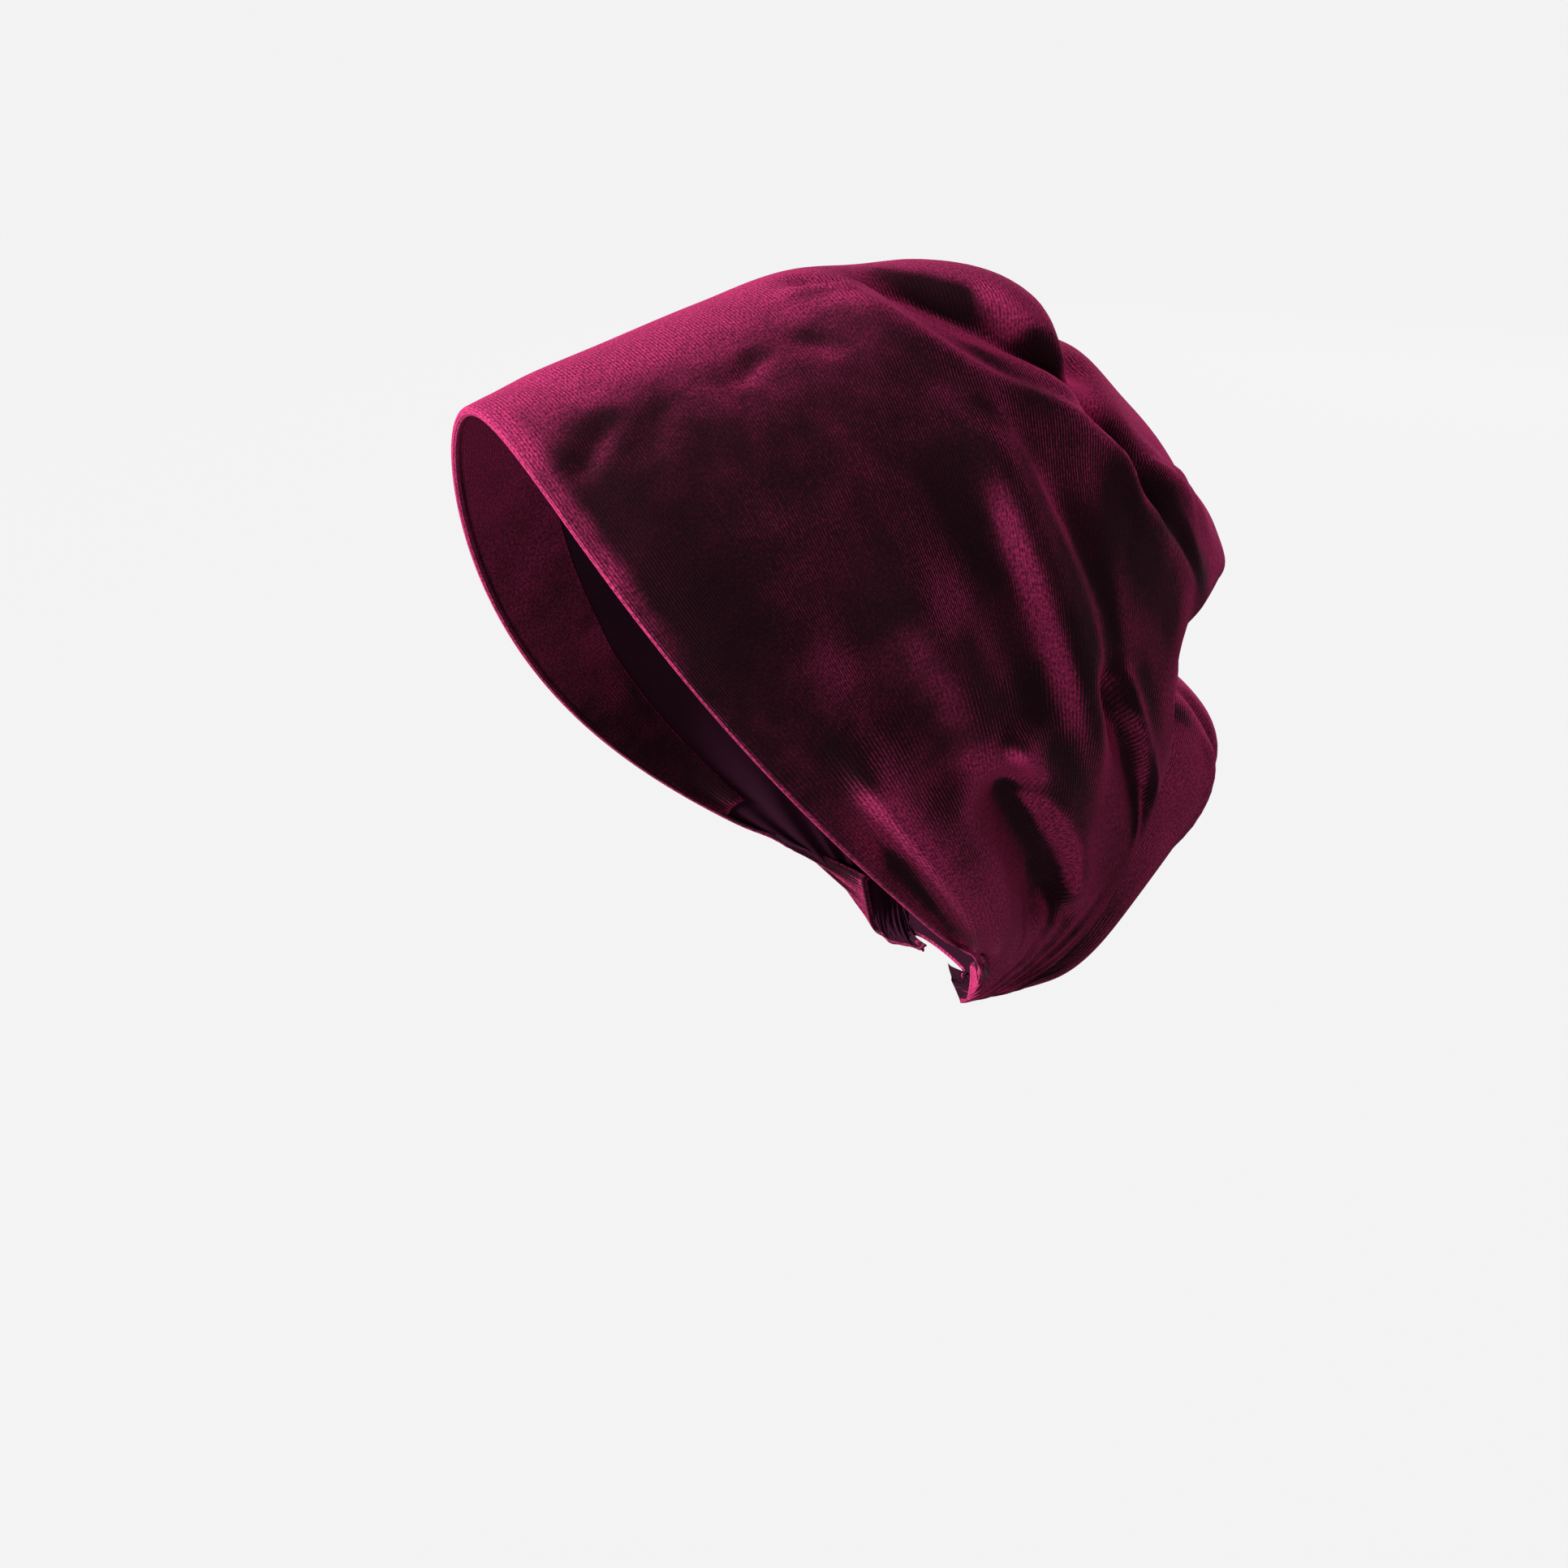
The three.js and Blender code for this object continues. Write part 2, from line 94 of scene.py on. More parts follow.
# Folds. Each follows a smooth path through three places, given as section number and
# "across": s0, a0, s1, a1, s2, a2. Then half its breadth, how far it stands out (or in, if
# negative), the share of its length over which each end dies away, and its skew: the side to
# the left of the path is that share broader than half, and the other side as much steeper.
FOLDS = {
    "shoulder_ridge": [3.9, 0.02, 5.3, 0.24, 8.9, 0.3, 7.5, 4.5, 0.22, 0.4],
    "shoulder_valley": [4.2, -0.04, 5.85, 0.19, 8.8, 0.25, 7, -8.5, 0.22, 0],
    "top_lobe": [4.6, -0.12, 5.5, 0.04, 5.9, 0.17, 14, 4, 0.3, 0],
    "valley_behind_lobe": [7.3, -0.34, 6.95, -0.02, 6.5, 0.22, 9, -7.5, 0.3, 0],
    "roll_ridge": [6.8, 0.28, 8.8, 0.2, 10.8, 0.17, 6.5, 3, 0.25, 0.3],
    "roll_crease": [6.9, 0.3, 8.1, 0.27, 10, 0.28, 6, -4, 0.25, 0],
    "side_ridge": [4.5, 0.21, 5.15, 0.42, 6.5, 0.65, 9.5, 6, 0.25, 0.25],
    "side_valley": [5.3, 0.28, 5.8, 0.43, 6.9, 0.57, 6, -3, 0.25, 0],
    "thin_ridge": [4.8, 0.22, 5.45, 0.39, 6.7, 0.52, 5.5, 2.5, 0.2, 0.3],
    "side_pleat": [6.1, 0.48, 7.4, 0.53, 10.2, 0.58, 5.5, -6, 0.28, 0.35],
    "side_pleat_lip": [6.5, 0.47, 8, 0.52, 10.8, 0.56, 5.5, 3.5, 0.28, 0],
    "temple_ridge": [3.1, 0.33, 3.35, 0.47, 3.8, 0.62, 9, 4.5, 0.3, 0],
    "rim_pleat": [1.5, 0.46, 1.65, 0.62, 2.6, 0.84, 6.5, 5, 0.25, -0.4],
    "rim_valley": [0.9, 0.52, 1, 0.67, 1.5, 0.9, 6.5, -4, 0.25, 0],
    "nape_body": [2.7, 0.55, 3, 0.66, 4.4, 0.86, 6.5, 4, 0.2, 0],
    "nape_hollow": [3.9, 0.56, 4.7, 0.66, 6.9, 0.75, 7, -8.5, 0.15, 0],
    "nape_fold": [4, 0.53, 5.1, 0.61, 7.6, 0.73, 6.5, 5.5, 0.15, -0.35],
    "right_ridge": [3.6, -0.12, 4.6, -0.4, 5.2, -0.72, 9, 5, 0.25, 0],
    "right_pleat": [5.6, -0.36, 6.8, -0.52, 8.4, -0.74, 7, -6, 0.2, 0],
    "right_hollow": [2.4, -0.52, 2.8, -0.66, 3.2, -0.84, 7, -5, 0.2, 0],
    "right_rim_pleat": [1.5, -0.5, 1.7, -0.66, 1.9, -0.86, 7, 4, 0.2, 0],
    "back_pleat_left": [12.5, 0.4, 13.6, 0.58, 14.6, 0.78, 7, -5, 0.25, 0],
    "back_pleat_right": [13, -0.48, 14.2, -0.6, 15, -0.78, 7, -5, 0.25, 0],
    "back_tuck_left": [17, 0.34, 17.8, 0.54, 18.4, 0.8, 6, -4, 0.25, 0],
    "back_tuck_right": [17.2, -0.44, 18, -0.58, 18.6, -0.8, 6, -4, 0.25, 0],
    "notch_crease": [12.8, 0.16, 11, 0.32, 10.4, 0.46, 16, -16.5, 0.25, 0],
    "upper_roll_lip": [9.6, 0.32, 11, 0.24, 11.9, 0.1, 10, 3, 0.3, 0],
    "lobe_gap": [6.9, 0.08, 6.55, 0.19, 6.3, 0.29, 7, -5.5, 0.25, 0],
    # finer folds and creases
    "wrinkle_front": [0.3, 0.175, 0.8, 0.15, 1.45, 0.11, 5, -2, 0.35, 0],
    "wrinkle_second": [1, 0.2, 1.5, 0.16, 2, 0.12, 5, -1.2, 0.4, 0],
    "wrinkle_middle": [2.4, 0.155, 2.7, 0.135, 3, 0.11, 4.5, -1.8, 0.4, 0],
    "wrinkle_back": [3.1, 0.1, 3.4, 0.14, 3.8, 0.17, 4, -1.2, 0.4, 0],
    "rim_dent": [0.5, -0.1, 0.9, 0, 1.5, 0.1, 7, -1.5, 0.4, 0],
    "bunch_dimple": [3.6, -0.01, 3.9, 0.03, 4.3, 0.07, 4.5, -3, 0.4, 0],
    "bunch_ray_front": [3.4, 0.03, 3.8, 0.06, 4.3, 0.08, 2.5, 1.8, 0.3, 0],
    "bunch_ray_back": [4.1, 0.02, 4.5, 0.06, 4.9, 0.09, 2.5, 1.5, 0.3, 0],
    "shoulder_edge": [4.4, 0.01, 5.6, 0.185, 7.2, 0.31, 3.5, 2.5, 0.25, 0.5],
    "shoulder_foot": [4.6, 0, 5.8, 0.17, 7.4, 0.285, 3.5, -2.5, 0.25, 0],
    "side_soft_dent": [2.2, 0.4, 2.6, 0.52, 3, 0.66, 9, -2, 0.35, 0],
    "thin_crest": [5.05, 0.28, 5.5, 0.405, 6.2, 0.52, 2.5, 1.2, 0.3, 0],
    "roll_lip": [7, 0.26, 8.3, 0.225, 9.8, 0.21, 3, 2, 0.3, 0],
    "roll_fine_ridge": [7.6, 0.21, 8.4, 0.195, 9.2, 0.19, 2.5, 1.2, 0.3, 0],
    "nape_arch": [3.8, 0.557, 4.3, 0.567, 4.8, 0.6, 3.5, 1.8, 0.3, 0],
    "rim_pleat_crest": [1.35, 0.51, 1.5, 0.6, 1.8, 0.75, 3.5, 1.5, 0.3, 0],
    "slit_lip": [6.9, 0.5, 8.4, 0.545, 10.2, 0.61, 3, 1.5, 0.3, 0],
    "lower_roll_crease": [14.6, 0.1, 15.6, 0.15, 16.6, 0.26, 4, -3, 0.3, 0],
    "lower_roll_lip": [15.2, 0.16, 15.9, 0.22, 16.8, 0.34, 4, 2, 0.3, 0],
}

# Painted highlights and painted shade on the pile, where light and shade fall on the folds: in
# the same columns as a fold, with how much more light the pile is painted to catch (or less, if
# negative) in the place of the height.
PAINTED_HIGHLIGHTS_AND_SHADE = {
    "rim_band": [0, -0.3, 0.08, 0.1, 0.05, 0.42, 5, 0.32, 0.3, 0],
    "crown_front": [1.6, -0.05, 2, 0.03, 2.6, 0.06, 16, 0.12, 0.4, 0],
    "shoulder": [3.7, 0.02, 4.8, 0.11, 5.2, 0.17, 4.5, 0.25, 0.3, 0],
    "shoulder_side": [4.6, 0.235, 4.9, 0.27, 5.4, 0.33, 4.5, -0.3, 0.3, 0],
    "lobe_front": [4.3, -0.05, 5, 0.05, 5.35, 0.13, 5, -0.3, 0.3, 0],
    "lobe": [5.35, 0.06, 5.65, 0.12, 5.8, 0.16, 7, 0.6, 0.35, 0],
    "lobe_foot": [4.95, 0.15, 5.25, 0.21, 5.8, 0.28, 5, -0.45, 0.3, 0],
    "lobe_back": [6.15, 0.12, 6.25, 0.18, 6.2, 0.25, 4, -0.35, 0.3, 0],
    "bag_top": [6.9, 0.12, 6.6, 0.2, 6.45, 0.27, 8, 0.9, 0.3, 0],
    "bag_patch": [7.3, 0.15, 7.4, 0.19, 7.5, 0.23, 6, -0.12, 0.4, 0],
    "bag_outline": [7, 0.1, 8.8, 0.155, 10.4, 0.18, 5, 0.8, 0.2, 0],
    "bag_edge": [10.4, 0.18, 11.1, 0.23, 11.2, 0.31, 5, 0.6, 0.25, 0],
    "bag_lip": [7, 0.26, 8.3, 0.225, 9.8, 0.21, 2.5, 0.25, 0.2, 0],
    "bag_pocket": [7.2, 0.29, 9, 0.27, 10.6, 0.275, 11, -0.9, 0.2, 0],
    "bag_flank": [5.9, 0.33, 7.4, 0.365, 9.2, 0.39, 18, -0.75, 0.2, 0],
    "flank_low": [6.9, 0.45, 8.2, 0.505, 9.6, 0.56, 10, -0.45, 0.25, 0],
    "main_ridge": [4.6, 0.29, 4.84, 0.43, 5.9, 0.62, 4, 0.55, 0.35, 0.25],
    "main_front": [3.9, 0.26, 4.3, 0.42, 5, 0.6, 6, -0.25, 0.2, 0],
    "main_back": [5, 0.27, 5.4, 0.42, 6.1, 0.6, 5, -0.5, 0.2, 0],
    "thin_back": [5.5, 0.32, 6.1, 0.44, 6.6, 0.49, 8, -0.5, 0.3, 0],
    "temple_ridge": [2.95, 0.4, 3.05, 0.465, 3.45, 0.545, 5, 0.14, 0.3, 0],
    "temple_back": [3.6, 0.42, 3.75, 0.49, 4.05, 0.545, 4.5, -0.35, 0.3, 0],
    "nape_blob": [3, 0.53, 3.35, 0.555, 3.8, 0.565, 5, 0.25, 0.35, 0],
    "nape_arch": [3.75, 0.557, 4.12, 0.565, 4.6, 0.6, 2.5, 0.9, 0.25, 0],
    "nape_fold": [4.3, 0.59, 5.4, 0.645, 7.1, 0.71, 2.5, 0.9, 0.2, 0],
    "nape_hollow": [3.95, 0.58, 5.1, 0.66, 6.8, 0.735, 6.5, -0.65, 0.12, 0],
    "behind_arch": [4.6, 0.54, 5.5, 0.59, 6.6, 0.65, 5, -0.45, 0.25, 0],
    "slit": [7.2, 0.525, 8.4, 0.57, 9.8, 0.6, 3.5, -0.6, 0.3, 0],
    "slit_lip": [6.9, 0.505, 8.4, 0.54, 10.2, 0.61, 2, 0.4, 0.2, 0],
    "rim_pleat": [1.35, 0.51, 1.5, 0.6, 1.8, 0.75, 4, 0.48, 0.25, 0],
    "rim_wedge": [0.85, 0.58, 1.1, 0.66, 1.4, 0.8, 5, -0.5, 0.25, 0],
    "side_front": [2.4, 0.22, 2.1, 0.31, 1.5, 0.37, 15, 0.09, 0.4, 0],
    "side_middle": [1.5, 0.38, 1.9, 0.42, 2.3, 0.5, 13, 0.12, 0.4, 0],
    "roll_pocket": [13, 0.16, 14.2, 0.15, 15.4, 0.2, 6, -0.45, 0.3, 0],
}
PATH_STEPS = 20                # a path is measured as this many straight steps


def catmull_rom(table, at):
    """Rows of the table at fractional row numbers: through each pair of rows runs the cubic
    whose slope at a row is half the step between its neighbours."""
    last = len(table) - 1
    i = np.minimum(np.clip(at, 0, last).astype(int), last - 1)
    t = (np.clip(at, 0, last) - i)[..., None]
    p1, p2 = table[i], table[i + 1]
    p0 = np.where((i > 0)[..., None], table[np.maximum(i - 1, 0)], 2 * p1 - p2)
    p3 = np.where((i < last - 1)[..., None], table[np.minimum(i + 2, last)], 2 * p2 - p1)
    return 0.5 * (2 * p1 + (p2 - p0) * t + (2 * p0 - 5 * p1 + 4 * p2 - p3) * t**2
                  + (3 * p1 - p0 - 3 * p2 + p3) * t**3)


def ease(x):
    """0 below 0, 1 above 1 and the cubic 3x^2 - 2x^3 between."""
    t = np.clip(x, 0, 1)
    return t * t * (3 - 2 * t)


def smooth_cloth(strip, across):
    """The unfolded surface. Each strip is an egg-shaped arc in the slanting plane that holds
    its nape point and its mid-line point: it climbs as (1 - cos(pi k)) / 2 to a power set by
    its hip, swells sideways as sin(pi k), and bows forward as sin(pi k) squared, where k is 0
    at the nape and 1 on the mid-line. The rolls push out within a window of "across"."""
    y, z, half, hip, bow, pinch, roll, lift = np.moveaxis(
        catmull_rom(SECTIONS, strip * LAST_SECTION), -1, 0)
    window = np.exp(-(((across - ROLL_SHIFT) / ROLL_REACH) ** 4))
    y, z = y + window * roll, z + window * lift
    nape_x = NAPE_HALF_WIDTH + (NAPE_HEM_HALF_WIDTH - NAPE_HALF_WIDTH) * strip
    nape_y = NAPE_Y + NAPE_Y_STEP * strip
    nape_z = NAPE_Z - NAPE_DROP * (1 - (1 - strip) ** 6) + NAPE_RISE * strip

    k = 1 - np.abs(across)
    up = ((1 - np.cos(np.pi * k)) / 2) ** (np.log(hip) / np.log(0.5))
    swell = np.maximum(np.sin(np.pi * k), 0)
    tight = np.where(k < 0.5, 1 + 0.35 * np.cos(np.pi * k), 1)
    shoulder = pinch * np.sin(2 * np.pi * k) * np.maximum(2 * k - 1, 0)
    side = nape_x * (1 - up) * np.cos(np.pi * k / 2) + half * (swell**tight + shoulder)
    rise_y, rise_z = y - nape_y, z - nape_z
    forward = bow * (1 - BOW_LEAN * across) * swell**2 / np.hypot(rise_y, rise_z)
    return np.stack([np.sign(across) * side,
                     nape_y + rise_y * up - rise_z * forward,
                     nape_z + rise_z * up + rise_y * forward], -1)


def unit(vectors):
    """Each vector divided by its length."""
    return vectors / np.maximum(np.linalg.norm(vectors, axis=-1, keepdims=True), 1e-9)


def slopes(strip, across, step=1e-3):
    """Steps of the unfolded surface along the strip and across directions, per unit."""
    s1, s0 = np.minimum(strip + step, 1), np.maximum(strip - step, 0)
    a1, a0 = np.minimum(across + step, 1), np.maximum(across - step, -1)
    along = (smooth_cloth(s1, across) - smooth_cloth(s0, across)) / (s1 - s0)[..., None]
    sideways = (smooth_cloth(strip, a1) - smooth_cloth(strip, a0)) / (a1 - a0)[..., None]
    return along, sideways


def along_paths(table, strip, across):
    """The sum over a table's rows of height * exp(-(d / width)^2), where d is the distance on
    the cloth from the row's path, the quadratic curve through its three places. The width is
    larger or smaller by the skew on each side, and the height dies away at the path's ends."""
    crowding = np.maximum((1 + np.cos(np.pi * across)) / 2, NAPE_CROWDING)
    total = np.zeros_like(strip)
    t = np.linspace(0, 1, PATH_STEPS + 1)[:, None]
    for s0, a0, s1, a1, s2, a2, width, height, fade, skew in table.values():
        start, end = np.array([s0 / LAST_SECTION, a0]), np.array([s2 / LAST_SECTION, a2])
        control = 2 * np.array([s1 / LAST_SECTION, a1]) - (start + end) / 2
        path = (1 - t) ** 2 * start + 2 * t * (1 - t) * control + t**2 * end
        nearest = np.full(strip.shape, np.inf)
        passed, side = np.zeros_like(strip), np.zeros_like(strip)
        for i in range(PATH_STEPS):
            step = path[i + 1] - path[i]
            dx, dy = step[0] * CUT_LENGTH * crowding, step[1] * CUT_HALF_WIDTH
            ex = (strip - path[i, 0]) * CUT_LENGTH * crowding
            ey = (across - path[i, 1]) * CUT_HALF_WIDTH
            share = np.clip((ex * dx + ey * dy) / (dx * dx + dy * dy + 1e-9),
                            0 if i > 0 else -np.inf, 1 if i < PATH_STEPS - 1 else np.inf)
            distance = np.hypot(ex - share * dx, ey - share * dy)
            closer = distance < nearest
            nearest = np.where(closer, distance, nearest)
            passed = np.where(closer, (i + share) / PATH_STEPS, passed)
            side = np.where(closer, np.sign(dx * ey - dy * ex), side)
        ends = ease(passed / fade) * ease((1 - passed) / fade)
        total += height * ends * np.exp(-((nearest / (width * (1 + skew * side))) ** 2))
    return total


# Slack in the cloth: long low waves that run down the strips, and the small gathers that
# crowd in towards the nape.
WAVES = 14
WAVE_HEIGHT = 0.32
GATHERS = 15                   # from the rim to the hem
GATHER_HEIGHT = 0.8
GATHER_START = 0.62            # they begin this far to each side, as "across"


def slack(strip, across):
    """A sum of sine waves of random lengths and phases, the same on each run, and a sine of
    "strip" that grows towards each nape and dies away at the nape itself."""
    chance = np.random.default_rng(7)
    total = np.zeros_like(strip)
    for _ in range(WAVES):
        along, sideways = chance.uniform(9, 30), chance.uniform(-7, 7)
        total += WAVE_HEIGHT * np.sin(along * strip + sideways * across
                                      + chance.uniform(0, 2 * math.pi))
    near_nape = (ease((np.abs(across) - GATHER_START) / 0.2)
                 * ease((1 - np.abs(across)) / 0.15))
    total += GATHER_HEIGHT * near_nape * np.sin(2 * np.pi * (GATHERS * strip + 0.15 * across))
    return total


def velvet(strip, across):
    """The finished outer surface, its outward direction, and its direction along the strips."""
    along, sideways = slopes(strip, across)
    outward = unit(np.cross(sideways, along))
    height = along_paths(FOLDS, strip, across) + slack(strip, across)
    return smooth_cloth(strip, across) + height[..., None] * outward, outward, unit(along)


def spread(places, shares, count):
    """count + 1 values over the places' range, closer together where the share is larger."""
    fine = np.linspace(places[0], places[-1], 2001)
    sums = np.concatenate([[0], np.cumsum(np.interp(fine[1:], places, shares))])
    return np.interp(np.linspace(0, sums[-1], count + 1), sums, fine)


RIM_EDGE_STEPS = 8
HEM_EDGE_STEPS = 4


def half_round(edge, outward, onward, top, bottom, steps):
    """Rows from depth "bottom" to depth "top" around a half circle that bulges onward."""
    turn = np.linspace(np.pi, 0, steps + 1)[:, None, None]
    middle, radius = (top + bottom) / 2, (bottom - top) / 2
    return edge - outward * (middle - radius * np.cos(turn)) + onward * radius * np.sin(turn)


def cloth_wall(name, strips, acrosses, top, bottom, rim_bottom, finishes):
    """A closed wall of cloth. Its profile is a loop: up the inner face from hem to rim, round
    the rim, down the outer face, and round the hem. top and bottom are the depths of its outer
    and inner faces below the velvet's surface, and rim_bottom that of the rim's bead."""
    strip, across = np.meshgrid(strips, acrosses, indexing="ij")
    surface, outward, along = velvet(strip, across)
    outer, inner = surface - outward * top, surface - outward * bottom
    rim = half_round(surface[0], outward[0], -along[0], top, rim_bottom,
                     RIM_EDGE_STEPS)[:-1]
    hem = half_round(surface[-1], outward[-1], along[-1], top, bottom,
                     HEM_EDGE_STEPS)[::-1][1:-1]
    loop = np.concatenate([inner[::-1], rim, outer, hem])
    rows, columns = loop.shape[:2]
    n, r = len(strips), len(rim)

    number = np.arange(rows * columns).reshape(rows, columns)
    after = np.roll(number, -1, axis=0)
    sides = np.stack([number[:, :-1], number[:, 1:], after[:, 1:], after[:, :-1]], -1)
    inside, outside = number[:n][::-1], number[n + r:n + r + n]
    right = np.stack([outside[:-1, 0], outside[1:, 0], inside[1:, 0], inside[:-1, 0]], -1)
    left = np.stack([outside[:-1, -1], inside[:-1, -1], inside[1:, -1], outside[1:, -1]], -1)
    quads = np.concatenate([sides.reshape(-1, 4), right, left]).tolist()
    rim_rows = np.r_[n - 1, n:n + r, n + r]
    hem_rows = np.r_[rows - len(hem) - 1:rows, 0]
    caps = [number[rim_rows, 0], number[rim_rows[::-1], -1],
            number[hem_rows, 0], number[hem_rows[::-1], -1]]
    faces = quads + [cap.tolist() for cap in caps]

    mesh = bpy.data.meshes.new(name)
    mesh.from_pydata((loop.reshape(-1, 3) / 1000).tolist(), [], faces)
    mesh.polygons.foreach_set("use_smooth", np.ones(len(faces), bool))
    knit = np.zeros(len(faces), np.int32)
    knit[:(n - 1) * (columns - 1)] = 1
    for finish in finishes:
        mesh.materials.append(finish)
    if len(finishes) > 1:
        mesh.polygons.foreach_set("material_index", knit)

    # The cloth's own coordinates, in metres: u along the ribs from the mid-line, v across them
    # from the rim. "crowding" is how many times the ribs' spacing has halved.
    table_row = np.concatenate([np.arange(n)[::-1], np.zeros(r, int), np.arange(n),
                                np.full(len(hem), n - 1)])
    steps = np.linalg.norm(np.diff(surface, axis=1), axis=-1)
    u = np.concatenate([np.zeros((n, 1)), np.cumsum(steps, axis=1)], axis=1)
    u -= u[:, [columns // 2]]
    v = np.interp(strips, RIB_STRIPS, RIB_RUN)
    turned = np.zeros(rows)
    turned[n:n + r] = -np.linspace(np.pi, 0, r + 1)[:-1] * rim_bottom / 2
    uv = np.stack([u[table_row], np.broadcast_to((v[table_row] + turned)[:, None],
                                                 (rows, columns))], -1) / 1000
    corner = np.zeros(len(mesh.loops), np.int32)
    mesh.loops.foreach_get("vertex_index", corner)
    mesh.uv_layers.new(name="cloth").data.foreach_set("uv", uv.reshape(-1, 2)[corner].ravel())
    flat_step = np.interp(strips, RIB_STRIPS, np.gradient(RIB_RUN, RIB_STRIPS))[:, None]
    real_step = np.linalg.norm(slopes(strip, across)[0], axis=-1)
    crowding = np.log2(flat_step / np.maximum(real_step, 1))[table_row]
    mesh.attributes.new("crowding", "FLOAT", "POINT").data.foreach_set("value", crowding.ravel())
    # Painted highlights and painted shade from the table, kept on each point for the material.
    painted_light = along_paths(PAINTED_HIGHLIGHTS_AND_SHADE, strip, across)[table_row]
    mesh.attributes.new("painted_light", "FLOAT", "POINT").data.foreach_set("value", painted_light.ravel())
    mesh.validate()

    piece = bpy.data.objects.new(name, mesh)
    bpy.context.scene.collection.objects.link(piece)
    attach(piece, "root")
    return piece


# How far each strip lies from the rim, over the side of the head, where the ribs are even.
RIB_STRIPS = np.linspace(0, 1, 400)
RIB_RUN = np.concatenate([[0], np.cumsum(np.linalg.norm(np.diff(
    smooth_cloth(*np.meshgrid(RIB_STRIPS, np.linspace(0, 0.4, 9), indexing="ij")),
    axis=0), axis=-1).mean(axis=1))])


class Value:
    """A socket of a material. Arithmetic on it adds Math nodes."""

    def __init__(self, finish, socket):
        self.finish, self.socket = finish, socket

    def math(self, operation, *others):
        return self.finish.node("Math", {"operation": operation},
                                dict(enumerate((self,) + others)))

    def __add__(self, other):
        return self.math("ADD", other)

    __radd__ = __add__

    def __sub__(self, other):
        return self.math("SUBTRACT", other)

    def __rsub__(self, other):
        return self.finish.node("Math", {"operation": "SUBTRACT"}, {0: other, 1: self})

    def __mul__(self, other):
        return self.math("MULTIPLY", other)

    __rmul__ = __mul__

    def __truediv__(self, other):
        return self.math("DIVIDE", other)

    def __rpow__(self, other):
        return self.finish.node("Math", {"operation": "POWER"}, {0: other, 1: self})


class Finish:
    """A procedural material and the one way to add a node to it."""

    def __init__(self, name):
        self.material = bpy.data.materials.new(name)
        self.material.use_nodes = True
        self.tree = self.material.node_tree
        self.tree.nodes.clear()

    def node(self, kind, settings=None, sockets=None, output=0):
        """Makes a node, sets its settings, then the values or links of its sockets."""
        made = self.tree.nodes.new("ShaderNode" + kind)
        for key, value in (settings or {}).items():
            setattr(made, key, value)
        for key, value in (sockets or {}).items():
            if isinstance(value, Value):
                self.tree.links.new(value.socket, made.inputs[key])
            else:
                made.inputs[key].default_value = value
        return Value(self, made.outputs[output]) if made.outputs else made

    def blend(self, mask, low, high):
        """The colour low where the mask is 0 and high where it is 1."""
        return self.node("Mix", {"data_type": "RGBA"}, {0: mask, 6: low, 7: high}, output=2)

    def between(self, value, low, high):
        """0 below low, 1 above high and smooth between."""
        return self.node("MapRange", {"interpolation_type": "SMOOTHSTEP"},
                         {"Value": value, "From Min": low, "From Max": high})


RIB_PITCH = 0.00105            # metres from rib to rib
TUFTS_ALONG_RIB = 800          # to the metre
TUFTS_ACROSS_RIB = 0.9         # to the rib
WINE_DEEP = (0.019, 0.0038, 0.0080, 1)
WINE = (0.038, 0.0044, 0.0120, 1)
WINE_BRIGHT = (0.120, 0.0070, 0.0320, 1)
PILE_SHEEN = (1.0, 0.20, 0.45, 1)
PILE_TIPS = (0.88, 0.062, 0.25, 1)


